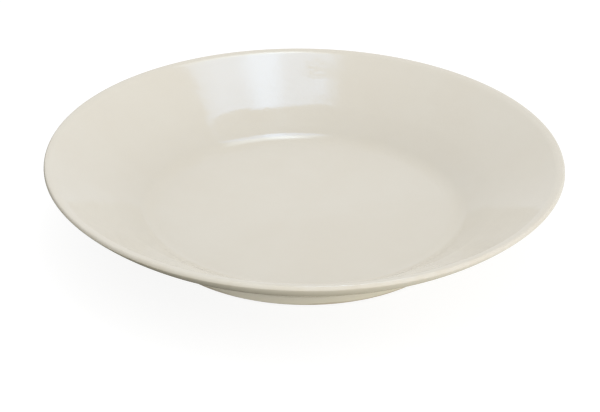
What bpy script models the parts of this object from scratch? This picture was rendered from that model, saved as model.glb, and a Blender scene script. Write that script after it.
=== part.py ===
"""Shallow flat-bottomed evaporating dish: a turned ceramic dish with a wide
sloping flank, a flat round well and a low foot ring, glazed all over except
for the wiped face that it stands on.

Units are metres, +Z is up, and the origin is at the centre of the plane that
the foot stands on. Every piece is turned about the Z axis.
"""

import math

import bmesh
import bpy
from mathutils import Vector

MM = 0.001

# ---- driving dimensions, in millimetres ------------------------------------
RIM_RADIUS = 115.0        # outermost circle of the lip
RIM_LEVEL = 33.9          # height of that circle above the table
CREST_RADIUS = 113.9      # top of the lip
CREST_LEVEL = 35.4        # overall height
CREST_INNER_ROUND = 7.0   # radius that turns the lip down into the flank

FLANK_KNEE_RADIUS = 84.8  # radius of the soft ridge round the flank
FLANK_KNEE_BLEND = 4.0    # width of that ridge, along the radius
FLANK_LOWER_SLOPE = 34.0  # degrees, between the ridge and the cove

WELL_RADIUS = 64.8        # flat floor of the well
WELL_LEVEL = 8.6
COVE_RADIUS = 14.5        # hollow curve between the well and the flank

LIP_LOWER_RADIUS = 102.2  # where the lip's outer curve meets the underside
LIP_LOWER_LEVEL = 23.6
UNDERSIDE_SLOPE = 30.5    # degrees
LIP_SHOULDER = 0.6        # how far the lip drops straight down at its widest
LIP_BULGE = 8.3           # how far the underside's line carries on into the lip

FOOT_RADIUS = 69.9        # outside of the foot ring
FOOT_FILLET = 1.6         # hollow fillet between the underside and the foot
FOOT_EDGE_ROUND = 0.9     # rounded lower edges of the foot
FOOT_WIDTH = 4.6          # foot ring, across
RECESS_LEVEL = 2.6        # underside inside the foot ring
RECESS_FILLET = 1.4

GLAZE_THICKNESS = 0.40
GLAZE_GAP = 0.10          # clearance between the glaze solid and the clay
GLAZE_END_OUTSIDE = 1.2   # the glaze stops this high on the foot's outer wall
GLAZE_END_INSIDE = 1.2    # and this high on its inner wall

STEPS = 60                # facets round each turned piece

# ---- finishes --------------------------------------------------------------
IVORY_GLAZE = (0.70, 0.66, 0.575, 1.0)
BARE_CLAY = (0.56, 0.47, 0.36, 1.0)


def clear_scene():
    for obj in list(bpy.data.objects):
        bpy.data.objects.remove(obj, do_unlink=True)
    for mesh in list(bpy.data.meshes):
        bpy.data.meshes.remove(mesh)


def make_material(name, colour, roughness, coat):
    material = bpy.data.materials.new(name)
    material.use_nodes = True
    shader = material.node_tree.nodes["Principled BSDF"]
    shader.inputs["Base Color"].default_value = colour
    shader.inputs["Roughness"].default_value = roughness
    shader.inputs["Metallic"].default_value = 0.0
    shader.inputs["Coat Weight"].default_value = coat
    material.diffuse_color = colour
    return material


# ---- profile pieces: each returns (radius, height) points in millimetres ---

def arc(centre, radius, start, end, count):
    """Points on a circular arc; start and end are in degrees."""
    points = []
    for i in range(count + 1):
        a = math.radians(start + (end - start) * i / count)
        points.append((centre[0] + radius * math.cos(a), centre[1] + radius * math.sin(a)))
    return points


def ellipse_quarter(centre, half_width, half_height, start, end, count):
    points = []
    for i in range(count + 1):
        a = math.radians(start + (end - start) * i / count)
        points.append((centre[0] + half_width * math.cos(a), centre[1] + half_height * math.sin(a)))
    return points


def bezier(p0, p1, p2, p3, count):
    points = []
    for i in range(count + 1):
        t = i / count
        a, b, c, d = (1 - t) ** 3, 3 * t * (1 - t) ** 2, 3 * t * t * (1 - t), t ** 3
        points.append(tuple(a * p0[k] + b * p1[k] + c * p2[k] + d * p3[k] for k in (0, 1)))
    return points


def join(*runs):
    """One run of points, leaving out a point that repeats the one before it."""
    points = []
    for run in runs:
        for p in run:
            if not points or math.dist(points[-1], p) > 1e-4:
                points.append(p)
    return points


def inset(points, depth):
    """The run moved to its right-hand side, into the material, with mitred corners."""
    moved = []
    last = len(points) - 1
    for i, (r, z) in enumerate(points):
        sides = []
        if i > 0:
            sides.append((r - points[i - 1][0], z - points[i - 1][1]))
        if i < last:
            sides.append((points[i + 1][0] - r, points[i + 1][1] - z))
        normals = []
        for dr, dz in sides:
            length = math.hypot(dr, dz)
            normals.append((dz / length, -dr / length))
        nr = sum(n[0] for n in normals)
        nz = sum(n[1] for n in normals)
        length = math.hypot(nr, nz)
        nr, nz = nr / length, nz / length
        spread = nr * normals[0][0] + nz * normals[0][1]
        if r < 1e-9:                      # on the axis a point only moves up or down
            moved.append((0.0, z + depth * math.copysign(1.0, nz)))
        else:
            moved.append((r + nr * depth / spread, z + nz * depth / spread))
    return moved


def upper_run():
    """From the centre of the well, over the lip, to the foot's outer wall."""
    lower = math.radians(FLANK_LOWER_SLOPE)
    well = [(0.0, WELL_LEVEL), (22.0, WELL_LEVEL), (44.0, WELL_LEVEL)]
    cove = arc((WELL_RADIUS, WELL_LEVEL + COVE_RADIUS), COVE_RADIUS,
               -90.0, -90.0 + FLANK_LOWER_SLOPE, 5)
    crest_inner = (CREST_RADIUS, CREST_LEVEL - CREST_INNER_ROUND)
    # The flank's two straight stretches meet at the ridge. The upper one is
    # the tangent that leaves the ridge and just touches the lip's inner round.
    knee = (FLANK_KNEE_RADIUS, cove[-1][1] + (FLANK_KNEE_RADIUS - cove[-1][0]) * math.tan(lower))
    dr, dz = crest_inner[0] - knee[0], crest_inner[1] - knee[1]
    upper = math.atan2(dz, dr) + math.asin(CREST_INNER_ROUND / math.hypot(dr, dz))
    half = FLANK_KNEE_BLEND / 2
    ridge = [(knee[0] - half, knee[1] - half * math.tan(lower)),
             (knee[0] + half, knee[1] + half * math.tan(upper))]
    crest = arc(crest_inner, CREST_INNER_ROUND, 90.0 + math.degrees(upper), 90.0, 4)
    brow = ellipse_quarter((CREST_RADIUS, RIM_LEVEL), RIM_RADIUS - CREST_RADIUS,
                           CREST_LEVEL - RIM_LEVEL, 90.0, 0.0, 4)
    under = math.radians(UNDERSIDE_SLOPE)
    low = (LIP_LOWER_RADIUS, LIP_LOWER_LEVEL)
    lip = bezier((RIM_RADIUS, RIM_LEVEL), (RIM_RADIUS, RIM_LEVEL - LIP_SHOULDER),
                 (low[0] + LIP_BULGE * math.cos(under), low[1] + LIP_BULGE * math.sin(under)),
                 low, 6)
    # The underside runs straight to the fillet at the foot.
    foot_top = low[1] - (low[0] - FOOT_RADIUS) * math.tan(under)
    turn = math.radians(90.0 - UNDERSIDE_SLOPE)
    tangent = FOOT_FILLET * math.tan(turn / 2)
    centre = (FOOT_RADIUS + FOOT_FILLET, foot_top - tangent)
    fillet = arc(centre, FOOT_FILLET, 90.0 + UNDERSIDE_SLOPE, 180.0, 3)
    wall = [(FOOT_RADIUS, GLAZE_END_OUTSIDE)]
    return join(well, cove, ridge, crest, brow, lip, fillet, wall)


def lower_run():
    """From the foot's inner wall to the centre of the underside."""
    inner = FOOT_RADIUS - FOOT_WIDTH
    wall = [(inner, GLAZE_END_INSIDE - 0.1)]
    fillet = arc((inner - RECESS_FILLET, RECESS_LEVEL - RECESS_FILLET), RECESS_FILLET, 0.0, 90.0, 3)
    base = [(30.0, RECESS_LEVEL), (0.0, RECESS_LEVEL)]
    return join(wall, fillet, base)


def clay_profile():
    """The fired clay: the glazed surfaces moved in, and the bare foot face."""
    depth = GLAZE_THICKNESS + GLAZE_GAP
    upper = inset(upper_run(), depth)
    lower = inset(lower_run(), depth)
    outer = upper[-1][0]
    inner = lower[0][0]
    rounding = FOOT_EDGE_ROUND
    outer_edge = arc((outer - rounding, rounding), rounding, 0.0, -90.0, 3)
    inner_edge = arc((inner + rounding, rounding), rounding, -90.0, -180.0, 3)
    return join(upper, outer_edge, inner_edge, lower)


def glaze_profile(run, upper_side_first):
    """A thin solid skin: one face is the run, the other lies under it."""
    under = inset(run, GLAZE_THICKNESS)
    if upper_side_first:
        return join(run, list(reversed(under)))
    return join(list(reversed(under)), run)


def turned(name, profile, collection, material):
    """A solid of revolution about Z from a profile that runs top to bottom."""
    mesh = bpy.data.meshes.new(name)
    bm = bmesh.new()
    verts = [bm.verts.new(Vector((r * MM, 0.0, z * MM))) for r, z in profile]
    for a, b in zip(verts, verts[1:]):
        bm.edges.new((a, b))
    bm.to_mesh(mesh)
    bm.free()
    obj = bpy.data.objects.new(name, mesh)
    collection.objects.link(obj)
    screw = obj.modifiers.new("turn", "SCREW")
    screw.axis = "Z"
    screw.angle = 2 * math.pi
    screw.steps = STEPS
    screw.render_steps = STEPS
    screw.use_smooth_shade = True
    screw.use_merge_vertices = True
    screw.merge_threshold = 0.00001
    mesh.materials.append(material)
    return obj


def main():
    clear_scene()
    scene = bpy.context.scene
    scene.unit_settings.system = "METRIC"
    scene.unit_settings.scale_length = 1.0

    dish = bpy.data.collections.new("evaporating_dish")
    scene.collection.children.link(dish)
    base = bpy.data.objects.new("dish_frame", None)
    base.empty_display_size = 0.02
    dish.objects.link(base)

    pieces = [
        turned("clay_body", clay_profile(), dish,
               make_material("bare_clay", BARE_CLAY, 0.85, 0.0)),
        turned("glaze_coat", glaze_profile(upper_run(), True), dish,
               make_material("ivory_glaze", IVORY_GLAZE, 0.18, 0.6)),
        turned("base_glaze", glaze_profile(lower_run(), False), dish,
               make_material("ivory_glaze_base", IVORY_GLAZE, 0.22, 0.5)),
    ]
    for piece in pieces:
        piece.parent = base


main()
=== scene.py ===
"""Looks for the shallow evaporating dish: fine glazed surfaces round the CAD frame."""

import math

import bpy
import numpy as np
from mathutils import Matrix, Vector, noise


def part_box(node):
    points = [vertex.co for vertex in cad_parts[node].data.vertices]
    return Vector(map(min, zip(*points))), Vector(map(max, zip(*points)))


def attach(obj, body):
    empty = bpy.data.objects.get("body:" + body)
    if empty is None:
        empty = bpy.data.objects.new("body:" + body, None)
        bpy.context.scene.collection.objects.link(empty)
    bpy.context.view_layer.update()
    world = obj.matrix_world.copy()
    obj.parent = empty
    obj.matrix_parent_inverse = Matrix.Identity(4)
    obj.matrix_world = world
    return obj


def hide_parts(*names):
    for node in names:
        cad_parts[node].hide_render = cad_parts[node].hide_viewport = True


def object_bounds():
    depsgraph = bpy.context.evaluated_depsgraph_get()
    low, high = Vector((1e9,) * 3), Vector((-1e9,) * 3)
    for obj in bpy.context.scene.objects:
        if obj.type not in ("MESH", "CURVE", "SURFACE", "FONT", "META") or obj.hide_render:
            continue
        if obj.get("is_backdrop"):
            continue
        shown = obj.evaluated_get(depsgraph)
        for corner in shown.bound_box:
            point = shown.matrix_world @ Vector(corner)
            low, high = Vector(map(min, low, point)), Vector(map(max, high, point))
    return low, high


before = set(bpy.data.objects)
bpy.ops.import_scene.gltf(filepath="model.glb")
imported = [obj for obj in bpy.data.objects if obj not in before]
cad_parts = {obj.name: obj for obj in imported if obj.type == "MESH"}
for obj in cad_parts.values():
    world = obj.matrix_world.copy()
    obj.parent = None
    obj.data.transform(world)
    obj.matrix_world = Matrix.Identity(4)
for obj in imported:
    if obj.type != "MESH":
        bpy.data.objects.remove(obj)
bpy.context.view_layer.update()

MM = 0.001

# ---------------------------------------------------------------------------
# dimensions, in millimetres; the overall ones are read from the CAD solids
# ---------------------------------------------------------------------------
_lo, _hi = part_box("glaze_coat")
RIM_RADIUS = (_hi.x - _lo.x) / 2 / MM
CREST_LEVEL = _hi.z / MM
RIM_LEVEL = CREST_LEVEL - 1.5
CREST_RADIUS = RIM_RADIUS - 1.1
CREST_INNER_ROUND = 7.0
KNEE_RADIUS = 84.8
KNEE_BLEND = 4.0
FLANK_CROWN = 0.18
LOWER_SLOPE = 34.0
WELL_RADIUS = 64.8
WELL_LEVEL = 8.6
COVE_RADIUS = 14.5
LIP_LOWER = (102.2, 23.6)
UNDERSIDE_SLOPE = 30.5
LIP_SHOULDER = 0.6
LIP_BULGE = 8.3
FOOT_RADIUS = 69.9
FOOT_FILLET = 1.6
FOOT_EDGE_ROUND = 0.9
FOOT_WIDTH = 4.6
RECESS_LEVEL = 2.6
RECESS_FILLET = 1.4
GLAZE = 0.40
GAP = 0.10
GLAZE_END_OUTSIDE = 1.2
GLAZE_END_INSIDE = 1.2

AROUND = 384


# ---------------------------------------------------------------------------
# profile
# ---------------------------------------------------------------------------
def arc(centre, radius, start, end, count):
    a = np.radians(np.linspace(start, end, count + 1))
    return np.stack([centre[0] + radius * np.cos(a), centre[1] + radius * np.sin(a)], 1)


def quarter(centre, width, height, start, end, count):
    a = np.radians(np.linspace(start, end, count + 1))
    return np.stack([centre[0] + width * np.cos(a), centre[1] + height * np.sin(a)], 1)


def straight(a, b, count):
    t = np.linspace(0, 1, count + 1)[:, None]
    return np.array(a)[None] * (1 - t) + np.array(b)[None] * t


def bezier(points, count):
    t = np.linspace(0, 1, count + 1)[:, None]
    n = len(points) - 1
    return sum(
        math.comb(n, k) * (1 - t) ** (n - k) * t**k * np.array(p)[None]
        for k, p in enumerate(points)
    )


def join(*runs):
    out = []
    for run in runs:
        for p in run:
            if not out or math.dist(out[-1], p) > 1e-4:
                out.append(tuple(p))
    return np.array(out)


def upper_run():
    """Visible surface from the well's centre, over the lip, to the foot's outer wall."""
    low = math.radians(LOWER_SLOPE)
    floor = straight((0, WELL_LEVEL), (WELL_RADIUS, WELL_LEVEL), 16)
    cove = arc((WELL_RADIUS, WELL_LEVEL + COVE_RADIUS), COVE_RADIUS, -90, -90 + LOWER_SLOPE, 16)
    centre = (CREST_RADIUS, CREST_LEVEL - CREST_INNER_ROUND)
    knee = (KNEE_RADIUS, cove[-1][1] + (KNEE_RADIUS - cove[-1][0]) * math.tan(low))
    dr, dz = centre[0] - knee[0], centre[1] - knee[1]
    up = math.atan2(dz, dr) + math.asin(CREST_INNER_ROUND / math.hypot(dr, dz))
    h = KNEE_BLEND / 2
    before = (knee[0] - h, knee[1] - h * math.tan(low))
    after = (knee[0] + h, knee[1] + h * math.tan(up))
    crest = arc(centre, CREST_INNER_ROUND, 90 + math.degrees(up), 90, 12)
    mid = ((after[0] + crest[0][0]) / 2, (after[1] + crest[0][1]) / 2)
    bulge = (mid[0] - FLANK_CROWN * math.sin(up), mid[1] + FLANK_CROWN * math.cos(up))
    brow = quarter((CREST_RADIUS, RIM_LEVEL), RIM_RADIUS - CREST_RADIUS, CREST_LEVEL - RIM_LEVEL, 90, 0, 10)
    under = math.radians(UNDERSIDE_SLOPE)
    lip = bezier(
        [
            (RIM_RADIUS, RIM_LEVEL),
            (RIM_RADIUS, RIM_LEVEL - LIP_SHOULDER),
            (LIP_LOWER[0] + LIP_BULGE * math.cos(under), LIP_LOWER[1] + LIP_BULGE * math.sin(under)),
            LIP_LOWER,
        ],
        22,
    )
    foot_top = LIP_LOWER[1] - (LIP_LOWER[0] - FOOT_RADIUS) * math.tan(under)
    turn = math.radians(90 - UNDERSIDE_SLOPE)
    tangent = FOOT_FILLET * math.tan(turn / 2)
    fillet = arc((FOOT_RADIUS + FOOT_FILLET, foot_top - tangent), FOOT_FILLET, 90 + UNDERSIDE_SLOPE, 180, 8)
    underside = straight(LIP_LOWER, fillet[0], 14)
    wall = straight(fillet[-1], (FOOT_RADIUS, GLAZE_END_OUTSIDE), 4)
    return join(
        floor,
        cove,
        straight(cove[-1], before, 8),
        bezier([before, knee, after], 8),
        bezier([after, bulge, crest[0]], 16),
        crest,
        brow,
        lip,
        underside,
        fillet,
        wall,
    )


def lower_run():
    inner = FOOT_RADIUS - FOOT_WIDTH
    wall = [(inner, GLAZE_END_INSIDE - 0.1)]
    fillet = arc((inner - RECESS_FILLET, RECESS_LEVEL - RECESS_FILLET), RECESS_FILLET, 0, 90, 8)
    base = straight(fillet[-1], (0, RECESS_LEVEL), 10)
    return join(wall, fillet, base)


def normals(run):
    """Unit vectors out of the material, which lies to the run's right."""
    d = np.gradient(run, axis=0)
    d /= np.linalg.norm(d, axis=1, keepdims=True)
    n = np.stack([-d[:, 1], d[:, 0]], 1)
    n[run[:, 0] < 1e-6] = (0, math.copysign(1, n[run[:, 0] < 1e-6][0, 1]) if (run[:, 0] < 1e-6).any() else 1)
    return n


def inset(run, depth):
    out = run - normals(run) * depth
    out[run[:, 0] < 1e-6, 0] = 0
    return out


# ---------------------------------------------------------------------------
# the shape's small irregularities
# ---------------------------------------------------------------------------
def smooth(t):
    t = np.clip(t, 0, 1)
    return t * t * (3 - 2 * t)


def warp(P):
    """Slow distortion that firing leaves in a wide rim: none at the foot, most at the lip."""
    r = np.hypot(P[:, 0], P[:, 1])
    a = np.arctan2(P[:, 1], P[:, 0])
    w = smooth((r - 70.0) / (RIM_RADIUS - 70.0))
    lift = 0.20 * np.clip(np.cos(a - math.radians(100)), 0, 1) ** 2
    drop = 0.18 * np.clip(np.cos(a - math.radians(44)), 0, 1) ** 8
    Q = P.copy()
    Q[:, 2] += w * (lift - drop + 0.04 * np.cos(3 * (a - 0.4)))
    k = 1 - w * (0.0016 * np.clip(-np.cos(a), 0, 1) ** 3 + 0.0004 * np.cos(3 * (a - 1.9)))
    Q[:, 0] *= k
    Q[:, 1] *= k
    return Q


def ripple(P, seed, size):
    """Smooth noise per point, about -1 to 1; size is its wavelength in millimetres."""
    off = Vector((seed * 17.3, seed * 5.1, seed * 9.7))
    return np.array([noise.noise(Vector(p) / size + off) for p in P])


# ---------------------------------------------------------------------------
# meshes
# ---------------------------------------------------------------------------
def ring_mesh(name, profile, around, shape, sharp=None):
    """A closed solid of revolution. profile runs from the axis at the top to the axis at the bottom."""
    n = len(profile)
    inner = profile[1:-1]
    a = np.linspace(0, 2 * math.pi, around, endpoint=False)
    ring = np.stack([np.cos(a), np.sin(a)], 1)
    pts = np.concatenate(
        [
            np.array([[0, 0, profile[0][1]]]),
            np.concatenate(
                [
                    np.column_stack([ring * r, np.full(around, z)])
                    for r, z in inner
                ]
            ),
            np.array([[0, 0, profile[-1][1]]]),
        ]
    )
    pts = shape(pts)
    faces = []
    last = 1 + (len(inner) - 1) * around
    end = len(pts) - 1
    for j in range(around):
        k = (j + 1) % around
        faces.append((0, 1 + j, 1 + k))
        faces.append((end, last + k, last + j))
    for i in range(len(inner) - 1):
        b = 1 + i * around
        c = b + around
        for j in range(around):
            k = (j + 1) % around
            faces.append((b + j, c + j, c + k, b + k))
    mesh = bpy.data.meshes.new(name)
    mesh.from_pydata([tuple(p) for p in pts * MM], [], faces)
    mesh.update()
    mesh.shade_smooth()
    obj = bpy.data.objects.new(name, mesh)
    bpy.context.scene.collection.objects.link(obj)
    return obj


def thin(run, step):
    keep = sorted(set(range(0, len(run), step)) | {len(run) - 1})
    return run[keep]


upper = upper_run()
lower = lower_run()


def shape_glaze(P):
    """Warp, the glaze's slight unevenness on its outer face, and its wavering line at the foot."""
    Q = warp(P)
    r = np.hypot(P[:, 0], P[:, 1])
    a = np.arctan2(P[:, 1], P[:, 0])
    waver = 0.22 * np.sin(5 * a + 1.0) + 0.16 * np.sin(9 * a + 2.2) + 0.10 * np.sin(17 * a + 0.3)
    near = smooth((5.0 - P[:, 2]) / 4.0) * (r > 60)
    Q[:, 2] += near * waver
    outer = np.arange(len(P)) < 1 + (len(upper) - 1) * AROUND
    swell = 0.018 * ripple(P, 3, 34.0) + 0.005 * ripple(P, 5, 11.0)
    Q[:, 2] += np.where(outer & (r > 3) & (r < CREST_RADIUS), swell, 0.0)
    return Q


def end_bead(outer, inner, bulge):
    """Round end of the glaze skin between its two faces, at a glaze line."""
    mid, half = (outer + inner) / 2, (outer - inner) / 2
    t = np.radians(np.linspace(0, 180, 7))
    return lambda z: np.stack([mid + half * np.cos(t), z - bulge * np.sin(t)], 1)


glaze_profile = join(
    upper,
    end_bead(FOOT_RADIUS, FOOT_RADIUS - GLAZE, 0.2)(GLAZE_END_OUTSIDE),
    thin(inset(upper, GLAZE), 4)[::-1],
)
glaze = ring_mesh("glaze_surface", glaze_profile, AROUND, shape_glaze)

clay_upper = inset(upper, GLAZE + GAP)
clay_lower = inset(lower, GLAZE + GAP)
outer_r, inner_r = clay_upper[-1][0], clay_lower[0][0]
clay_profile = join(
    thin(clay_upper, 3),
    straight(clay_upper[-1], (outer_r, FOOT_EDGE_ROUND), 1),
    arc((outer_r - FOOT_EDGE_ROUND, FOOT_EDGE_ROUND), FOOT_EDGE_ROUND, 0, -90, 8),
    straight((outer_r - FOOT_EDGE_ROUND, 0), (inner_r + FOOT_EDGE_ROUND, 0), 3),
    arc((inner_r + FOOT_EDGE_ROUND, FOOT_EDGE_ROUND), FOOT_EDGE_ROUND, -90, -180, 8),
    thin(clay_lower, 2),
)
clay = ring_mesh("clay_surface", clay_profile, 256, warp)
base_profile = join(
    thin(inset(lower, GLAZE), 2)[::-1],
    end_bead(FOOT_RADIUS - FOOT_WIDTH + GLAZE, FOOT_RADIUS - FOOT_WIDTH, 0.2)(GLAZE_END_INSIDE - 0.1),
    lower,
)
base = ring_mesh("base_glaze_surface", base_profile, 256, warp)


# ---------------------------------------------------------------------------
# materials
# ---------------------------------------------------------------------------
def new_material(name):
    m = bpy.data.materials.new(name)
    m.use_nodes = True
    nt = m.node_tree
    return m, nt, nt.nodes["Principled BSDF"]


class Nodes:
    """Short names for the few node kinds that the materials are made of."""

    def __init__(self, tree):
        self.tree = tree

    def add(self, kind, **values):
        n = self.tree.nodes.new(kind)
        for key, value in values.items():
            setattr(n, key, value)
        return n

    def wire(self, source, node, socket):
        self.tree.links.new(source, node.inputs[socket])

    def put(self, node, socket, value):
        if hasattr(value, "is_output"):
            self.wire(value, node, socket)
        else:
            node.inputs[socket].default_value = value

    def math(self, op, a, b=0.0, c=0.0):
        n = self.add("ShaderNodeMath", operation=op)
        for i, v in enumerate((a, b, c)):
            self.put(n, i, v)
        return n.outputs[0]

    def ramp(self, value, low, high, to_low=0.0, to_high=1.0, ease=True):
        n = self.add("ShaderNodeMapRange", interpolation_type="SMOOTHSTEP" if ease else "LINEAR")
        for socket, v in (("Value", value), ("From Min", low), ("From Max", high), ("To Min", to_low), ("To Max", to_high)):
            self.put(n, socket, v)
        return n.outputs["Result"]

    def noise(self, where, scale, detail=2.0, rough=0.5, distortion=0.0):
        n = self.add("ShaderNodeTexNoise")
        self.wire(where, n, "Vector")
        for socket, v in (("Scale", scale), ("Detail", detail), ("Roughness", rough), ("Distortion", distortion)):
            self.put(n, socket, v)
        return n.outputs["Fac"]

    def cells(self, where, scale, randomness=1.0):
        n = self.add("ShaderNodeTexVoronoi", feature="F1")
        self.wire(where, n, "Vector")
        self.put(n, "Scale", scale)
        self.put(n, "Randomness", randomness)
        return n.outputs["Distance"], n.outputs["Color"]

    def mix(self, factor, a, b):
        n = self.add("ShaderNodeMix", data_type="RGBA")
        self.put(n, 0, factor)
        for i, v in ((6, a), (7, b)):
            self.put(n, i, (*v, 1) if isinstance(v, tuple) and len(v) == 3 else v)
        return n.outputs[2]

    def bump(self, height, distance, normal=None):
        n = self.add("ShaderNodeBump")
        self.put(n, "Strength", 1.0)
        self.put(n, "Distance", distance)
        self.wire(height, n, "Height")
        if normal is not None:
            self.wire(normal, n, "Normal")
        return n.outputs["Normal"]


def polar(k):
    """Object coordinates, and the distance from the dish's axis, in metres."""
    tc = k.add("ShaderNodeTexCoord")
    xyz = k.add("ShaderNodeSeparateXYZ")
    k.wire(tc.outputs["Object"], xyz, 0)
    x, y, z = xyz.outputs
    r = k.math("SQRT", k.math("ADD", k.math("MULTIPLY", x, x), k.math("MULTIPLY", y, y)))
    return tc.outputs["Object"], x, y, z, r


def band(k, value, centre, width):
    """1 at centre, falling smoothly to 0 at width on each side."""
    return k.ramp(k.math("ABSOLUTE", k.math("SUBTRACT", value, centre)), 0.0, width, 1.0, 0.0)


def glaze_material(name, colour, deep, thin_tone, inside=True):
    m, nt, bsdf = new_material(name)
    k = Nodes(nt)
    where, x, y, z, r = polar(k)
    # colour: cloudy depth of the glaze, pooling where it ran, thinner over the crest
    cloud = k.ramp(k.noise(where, 15, 3, 0.55), 0.36, 0.64)
    cloud2 = k.ramp(k.noise(where, 70, 3, 0.6), 0.34, 0.66)
    base = k.mix(k.math("MULTIPLY_ADD", cloud2, 0.35, k.math("MULTIPLY", cloud, 0.65)), colour, deep)
    pool = band(k, r, (WELL_RADIUS + 4.0) * MM, 7.0 * MM) if inside else band(k, r, 60 * MM, 6 * MM)
    runs = k.ramp(k.noise(where, 42, 2, 0.5), 0.35, 0.7, 0.35, 1.0)
    tone = k.mix(k.math("MULTIPLY", k.math("MULTIPLY", pool, runs), 0.45), base, tuple(c * f for c, f in zip(deep, (0.985, 0.975, 0.945))))
    if inside:
        edge = band(k, r, RIM_RADIUS * MM, 3.0 * MM)
        worn = k.ramp(k.noise(where, 120, 3, 0.6), 0.42, 0.62)
        tone = k.mix(k.math("MULTIPLY", k.math("MULTIPLY", edge, worn), 0.30), tone, thin_tone)
        # painted light: the glaze colour is made lighter low down, 1 to 5 mm up the foot wall, to brighten the foot
        low = k.ramp(z, 1.0 * MM, 5.0 * MM, 1.0, 0.0)
        tone = k.mix(k.math("MULTIPLY", low, 0.8), tone, tuple(c * f for c, f in zip(colour, (1.07, 1.06, 0.99))))
    # rare faint iron specks under the surface
    near, tint = k.cells(where, 210)
    pick = k.add("ShaderNodeSeparateColor")
    k.wire(tint, pick, 0)
    rare = k.math("GREATER_THAN", pick.outputs[0], 0.90)
    size = k.math("MULTIPLY_ADD", pick.outputs[1], 0.05, 0.035)
    speck = k.math("MULTIPLY", k.ramp(near, 0.0, size, 1.0, 0.0), rare)
    tone = k.mix(k.math("MULTIPLY", speck, 0.30), tone, (0.40, 0.34, 0.25))
    k.wire(tone, bsdf, "Base Color")
    # gloss: fired shine, a little duller where the floor of the dish has been used
    gloss = k.ramp(k.noise(where, 55, 3, 0.6), 0.3, 0.7, 0.060, 0.105)
    if inside:
        use = k.ramp(r, 40 * MM, 66 * MM, 1.0, 0.0)
        scuff = k.ramp(k.noise(where, 900, 3, 0.7), 0.35, 0.75)
        gloss = k.math("MULTIPLY_ADD", k.math("MULTIPLY", use, k.math("MULTIPLY_ADD", scuff, 0.6, 0.4)), 0.07, gloss)
    k.wire(gloss, bsdf, "Roughness")
    bsdf.inputs["IOR"].default_value = 1.5
    # surface: faint turning rings, orange peel, pits at the specks, hair scratches in the well
    wob = k.noise(where, 9, 1, 0.5)
    rings = k.math("SINE", k.math("MULTIPLY_ADD", wob, 9.0, k.math("MULTIPLY", r, 2 * math.pi / (4.6 * MM))))
    n1 = k.bump(rings, 0.0000016)
    n2 = k.bump(k.noise(where, 170, 2, 0.5), 0.000045, n1)
    n3 = k.bump(k.math("SUBTRACT", 1.0, speck), 0.00003, n2)
    last = n3
    if inside:
        turn = k.add("ShaderNodeVectorRotate", rotation_type="Z_AXIS")
        k.wire(where, turn, "Vector")
        k.put(turn, "Angle", 0.6)
        stretch = k.add("ShaderNodeMapping")
        k.wire(turn.outputs[0], stretch, "Vector")
        stretch.inputs["Scale"].default_value = (60, 2600, 400)
        hair = k.ramp(k.noise(stretch.outputs[0], 1.0, 1, 0.4), 0.60, 0.68)
        patchy = k.ramp(k.noise(where, 40, 2, 0.5), 0.45, 0.6)
        cut = k.math("MULTIPLY", k.math("MULTIPLY", hair, patchy), use)
        last = k.bump(k.math("SUBTRACT", 1.0, cut), 0.000004, n3)
    k.wire(last, bsdf, "Normal")
    return m


def clay_material(name, light, dark, iron):
    """Fired stoneware left bare: sandy grain, open pores, a rubbed pale ring where it stands."""
    m, nt, bsdf = new_material(name)
    k = Nodes(nt)
    where, x, y, z, r = polar(k)
    body = k.mix(k.ramp(k.noise(where, 60, 4, 0.6), 0.33, 0.67), light, dark)
    grain = k.ramp(k.noise(where, 1400, 3, 0.7), 0.35, 0.68)
    body = k.mix(k.math("MULTIPLY", grain, 0.45), body, tuple(c * 0.84 for c in light))
    near, tint = k.cells(where, 620)
    pick = k.add("ShaderNodeSeparateColor")
    k.wire(tint, pick, 0)
    speck = k.math("MULTIPLY", k.ramp(near, 0.05, 0.22, 1.0, 0.0), k.math("GREATER_THAN", pick.outputs[0], 0.84))
    body = k.mix(k.math("MULTIPLY", speck, 0.55), body, iron)
    rub = k.math("MULTIPLY", k.ramp(z, 0.05 * MM, 0.45 * MM, 1.0, 0.0), k.ramp(k.noise(where, 90, 3, 0.6), 0.4, 0.6))
    body = k.mix(k.math("MULTIPLY", rub, 0.35), body, tuple(min(1.0, c * 1.14) for c in light))
    k.wire(body, bsdf, "Base Color")
    k.wire(k.ramp(grain, 0.0, 1.0, 0.74, 0.92, False), bsdf, "Roughness")
    n1 = k.bump(k.noise(where, 1100, 4, 0.7), 0.00006)
    n2 = k.bump(k.math("SUBTRACT", 1.0, speck), 0.00012, n1)
    k.wire(n2, bsdf, "Normal")
    return m


ivory = glaze_material("ivory_glaze_fine", (0.700, 0.667, 0.588), (0.688, 0.650, 0.566), (0.640, 0.585, 0.475))
ivory_base = glaze_material("ivory_base_fine", (0.685, 0.645, 0.556), (0.665, 0.622, 0.530), (0.60, 0.55, 0.45), inside=False)
clay_mat = clay_material("bare_clay_fine", (0.640, 0.572, 0.462), (0.585, 0.512, 0.400), (0.30, 0.22, 0.14))

for obj, mat in ((glaze, ivory), (clay, clay_mat), (base, ivory_base)):
    obj.data.materials.append(mat)

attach(glaze, "root")
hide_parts("glaze_coat")
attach(clay, "root")
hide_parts("clay_body")
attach(base, "root")
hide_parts("base_glaze")

# ---------------------------------------------------------------------------
# floor: pale, and lit a little from below, as on a light table, so that shadows stay faint
# ---------------------------------------------------------------------------
def disc(name, radius, z):
    bpy.ops.mesh.primitive_circle_add(vertices=96, radius=radius, fill_type="NGON", location=(0, 0, z))
    obj = bpy.context.object
    obj.name = name
    obj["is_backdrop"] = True
    return obj


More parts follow.
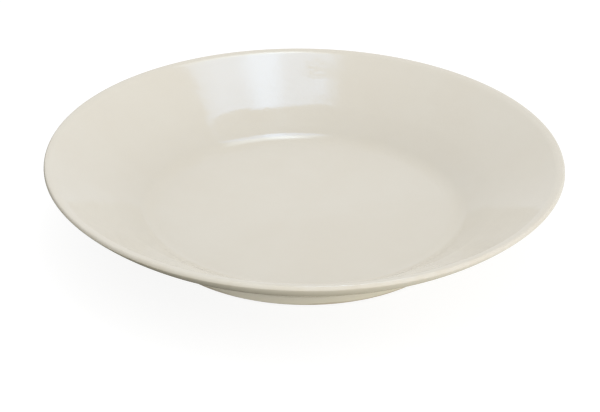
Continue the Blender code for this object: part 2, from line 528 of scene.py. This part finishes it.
floor = disc("floor", 8.0, -0.0002)
fmat, ft, fb = new_material("floor_paper")
k = Nodes(ft)
where, _x, _y, _z, _r = polar(k)
paper = k.mix(k.ramp(k.noise(where, 6, 3, 0.5), 0.35, 0.65), (0.210, 0.210, 0.210), (0.204, 0.204, 0.204))
k.wire(paper, fb, "Base Color")
fb.inputs["Roughness"].default_value = 0.95
fb.inputs["Specular IOR Level"].default_value = 0.0
fb.inputs["Emission Color"].default_value = (1, 1, 1, 1)
fb.inputs["Emission Strength"].default_value = 0.87
floor.data.materials.append(fmat)
floor.visible_diffuse = False
floor.visible_glossy = False
floor.visible_shadow = False

# A white wall all round, so that floor and background meet without a line.
bpy.ops.mesh.primitive_cylinder_add(vertices=96, radius=7.8, depth=12, end_fill_type="NOTHING", location=(0, 0, 5.9))
wall = bpy.context.object
wall.name = "backdrop"
wall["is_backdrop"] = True
wmat, wt, wb = new_material("backdrop_white")
k = Nodes(wt)
where, _x, _y, _z, _r = polar(k)
tone = k.mix(k.ramp(k.noise(where, 0.3, 1, 0.5), 0.3, 0.7), (1.0, 1.0, 1.0), (0.995, 0.995, 0.995))
k.wire(tone, wb, "Emission Color")
wb.inputs["Base Color"].default_value = (0, 0, 0, 1)
wb.inputs["Specular IOR Level"].default_value = 0.0
wb.inputs["Emission Strength"].default_value = 1.03
wall.data.materials.append(wmat)
wmat.cycles.emission_sampling = "NONE"
wall.visible_diffuse = False
wall.visible_glossy = False
wall.visible_shadow = False

# What the underside sees in the floor's place: a table that is bright to the right of
# the dish, in front of it and behind it, and falls off to the left and beneath it.
glow = disc("table_bounce", 1.6, -0.0006)
gmat = bpy.data.materials.new("table_bounce")
gmat.use_nodes = True
gt = gmat.node_tree
gt.nodes.clear()
k = Nodes(gt)
where, x, y, _z, radius = polar(k)
across = k.math("MULTIPLY_ADD", y, 0.17, x)
near = k.ramp(across, -0.068, 0.118, 0.09, 0.80)
across = k.math("MULTIPLY_ADD", k.math("ABSOLUTE", y), 0.22, x)
far = k.ramp(across, -0.170, 0.060, 0.14, 0.88)
under = k.ramp(radius, 0.070, 0.115, 0.85, 1.0)
level = k.math("MULTIPLY", under, k.mix(k.ramp(radius, 0.120, 0.172), near, far))
tint = k.mix(k.ramp(level, 0.15, 1.0), (1.0, 0.92, 0.62), (1.0, 0.98, 0.95))
emit = k.add("ShaderNodeEmission")
k.wire(tint, emit, "Color")
k.wire(level, emit, "Strength")
out = k.add("ShaderNodeOutputMaterial")
k.wire(emit.outputs[0], out, "Surface")
glow.data.materials.append(gmat)
gmat.cycles.emission_sampling = "NONE"
glow.visible_camera = False
glow.visible_shadow = False

# ---------------------------------------------------------------------------
# light: an even pale room, brighter low in front, one cool softbox for the
# highlight and one broad neutral light for the shading
# ---------------------------------------------------------------------------
world = bpy.data.worlds.new("studio")
bpy.context.scene.world = world
world.use_nodes = True
k = Nodes(world.node_tree)
tc = k.add("ShaderNodeTexCoord")
xyz = k.add("ShaderNodeSeparateXYZ")
k.wire(tc.outputs["Generated"], xyz, 0)
wx, wy, wz = xyz.outputs
low = k.ramp(wz, 0.05, 0.50, 1.0, 0.0)
facing = k.math("MAXIMUM", k.math("MULTIPLY_ADD", wx, 0.35, k.math("MULTIPLY", wy, -0.937)), 0.0)
front = k.math("MULTIPLY", k.math("MULTIPLY", facing, facing), low)
side = k.math("MULTIPLY_ADD", wy, 0.08, k.math("MULTIPLY_ADD", wx, -0.04, 0.82))
shaded = k.math("MAXIMUM", k.math("MULTIPLY_ADD", wx, -0.82, k.math("MULTIPLY", wy, -0.57)), 0.0)
side = k.math("MULTIPLY_ADD", k.math("MULTIPLY", shaded, low), -0.68, side)
room = k.math("MULTIPLY_ADD", front, 0.60, side)
bg = world.node_tree.nodes["Background"]
bg.inputs["Color"].default_value = (1.0, 1.0, 1.0, 1)
k.wire(room, bg, "Strength")


def area(name, location, size, size_y, power, colour=(1, 1, 1), turn=0.0, target=None):
    d = bpy.data.lights.new(name, "AREA")
    d.shape = "RECTANGLE"
    d.size, d.size_y = size, size_y
    d.energy = power
    d.color = colour
    o = bpy.data.objects.new(name, d)
    bpy.context.scene.collection.objects.link(o)
    o.location = location
    o.rotation_mode = "QUATERNION"
    down = Vector((0, 0, -1)) if target is None else Vector(target) - Vector(location)
    spin = Matrix.Rotation(turn, 3, "Z").to_quaternion()
    o.rotation_quaternion = spin @ down.to_track_quat("-Z", "Y") if target is None else down.to_track_quat("-Z", "Y") @ spin
    o.visible_camera = False
    return o


overhead = area("overhead", (0.25, 0.32, 1.42), 0.9, 0.9, 5.2, target=(0, 0, 0))
overhead.visible_glossy = False
front_fill = area("front_fill", (0.72, -2.14, 0.20), 2.0, 0.9, 18.6, target=(0, 0, 0.02))
front_fill.visible_glossy = False

# The softbox hangs level, 1.3 m up, turned 20 degrees. S runs along its near edge.
BOX_HEIGHT = 1.30
BOX_TURN = math.radians(20)
BOX_ORIGIN = (0.0, 0.030)
BOX_S = (-0.20, 0.72)
BOX_T = (-0.06, 0.80)
along = Vector((math.cos(BOX_TURN), math.sin(BOX_TURN), 0))
away = Vector((-math.sin(BOX_TURN), math.cos(BOX_TURN), 0))
middle = Vector((*BOX_ORIGIN, BOX_HEIGHT)) + along * (sum(BOX_S) / 2) + away * (sum(BOX_T) / 2)
box_w, box_d = BOX_S[1] - BOX_S[0], BOX_T[1] - BOX_T[0]
BOX_RADIANCE = 3.50
softbox = area("softbox", middle, box_w, box_d, BOX_RADIANCE * math.pi * box_w * box_d, (0.385, 0.60, 1.0), BOX_TURN)
softbox.visible_diffuse = False
softbox.data.use_nodes = True
k = Nodes(softbox.data.node_tree)
geo = k.add("ShaderNodeNewGeometry")
uv = k.add("ShaderNodeSeparateXYZ")
k.wire(geo.outputs["Parametric"], uv, 0)
s_at = k.ramp(uv.outputs[0], 0.0, 1.0, BOX_S[0], BOX_S[1], False)
t_at = k.ramp(uv.outputs[1], 0.0, 1.0, BOX_T[0], BOX_T[1], False)
left = k.ramp(k.math("SUBTRACT", s_at, k.math("MULTIPLY", k.math("SUBTRACT", t_at, 0.12), 0.70)), -0.18, -0.01)
s_lean = k.math("ADD", k.ramp(t_at, 0.03, 0.19, -0.055, 0.065, False), s_at)
right_end = k.math("ADD", k.ramp(s_lean, 0.595, 0.628, 0.6, 0.0), k.ramp(s_lean, 0.44, 0.62, 0.4, 0.0))
hot = k.ramp(k.math("ABSOLUTE", k.math("SUBTRACT", s_at, 0.225)), 0.02, 0.12, 0.95, 0.0)
bow = k.math("ADD", k.ramp(s_at, -0.10, 0.15, 0.105, -0.045), k.ramp(s_at, 0.28, 0.42, 0.0, 0.050))
near_edge = k.ramp(k.math("SUBTRACT", t_at, bow), 0.0, 0.012)
far = k.math("MULTIPLY", k.ramp(t_at, 0.45, 0.80, 1.0, 0.0), near_edge)
shape = k.math("MULTIPLY", k.math("MULTIPLY", left, right_end), far)
shape = k.math("MULTIPLY", shape, k.math("ADD", hot, 1.0))
shape = k.math("MULTIPLY", shape, k.math("MULTIPLY_ADD", band(k, t_at, 0.34, 0.18), 0.30, 1.0))
# something dark hangs across one corner of the softbox
slant = k.math("MULTIPLY_ADD", s_at, 0.46, t_at)
corner = k.ramp(k.math("ABSOLUTE", k.math("SUBTRACT", slant, 0.155)), 0.015, 0.025, 1.0, 0.0)
corner = k.math("MULTIPLY", corner, k.ramp(s_at, 0.030, 0.060, 1.0, 0.0))
shape = k.math("MULTIPLY", shape, k.math("SUBTRACT", k.ramp(s_at, -0.05, 0.06, 1.25, 1.0), corner))
emission = next(n for n in softbox.data.node_tree.nodes if n.type == "EMISSION")
k.wire(k.mix(k.ramp(t_at, 0.20, 0.30), k.mix(hot, (1.0, 1.0, 1.0), (1.06, 1.0, 0.92)), (1.45, 1.15, 0.80)), emission, "Color")
k.wire(shape, emission, "Strength")

# ---------------------------------------------------------------------------
# camera: aimed so that the rim's centre sits above the middle of the frame
# ---------------------------------------------------------------------------
FRAME_WIDTH = 600
FOCAL = 2500.0                      # in pixels of that frame
ELEVATION = math.radians(27.25)     # of the camera over the rim's centre
ROLL = math.radians(0.677)
SCALE = 259.89                      # pixels per rim radius at the rim's centre
AIM_LEVEL = 33.9                    # of the point that the camera's distance is measured to, in mm
AIM_X = math.radians(0.0870)
AIM_Y = math.radians(1.0596)

R = RIM_RADIUS * MM
dist = FOCAL / SCALE * R
target = Vector((0, 0, AIM_LEVEL * MM))
right = Vector((1, 0, 0))
forward = Vector((0, math.cos(ELEVATION), -math.sin(ELEVATION)))
upward = Vector((0, math.sin(ELEVATION), math.cos(ELEVATION)))
position = target - forward * dist
f1 = forward * math.cos(AIM_X) - right * math.sin(AIM_X)
r1 = right * math.cos(AIM_X) + forward * math.sin(AIM_X)
f2 = f1 * math.cos(AIM_Y) - upward * math.sin(AIM_Y)
u1 = upward * math.cos(AIM_Y) + f1 * math.sin(AIM_Y)
r2 = r1 * math.cos(ROLL) + u1 * math.sin(ROLL)
u2 = -r1 * math.sin(ROLL) + u1 * math.cos(ROLL)

cam_data = bpy.data.cameras.new("camera")
cam = bpy.data.objects.new("camera", cam_data)
bpy.context.scene.collection.objects.link(cam)
cam_data.sensor_fit = "HORIZONTAL"
cam_data.sensor_width = 36.0
cam_data.lens = FOCAL / FRAME_WIDTH * 36.0
cam_data.clip_start = 0.05
cam_data.clip_end = 50
cam.matrix_world = Matrix(
    (
        (r2.x, u2.x, -f2.x, position.x),
        (r2.y, u2.y, -f2.y, position.y),
        (r2.z, u2.z, -f2.z, position.z),
        (0, 0, 0, 1),
    )
)
bpy.context.scene.camera = cam

scene = bpy.context.scene
scene.view_settings.view_transform = "Standard"
scene.view_settings.look = "None"
scene.view_settings.exposure = 0.0
scene.view_settings.gamma = 1.0

low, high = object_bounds()
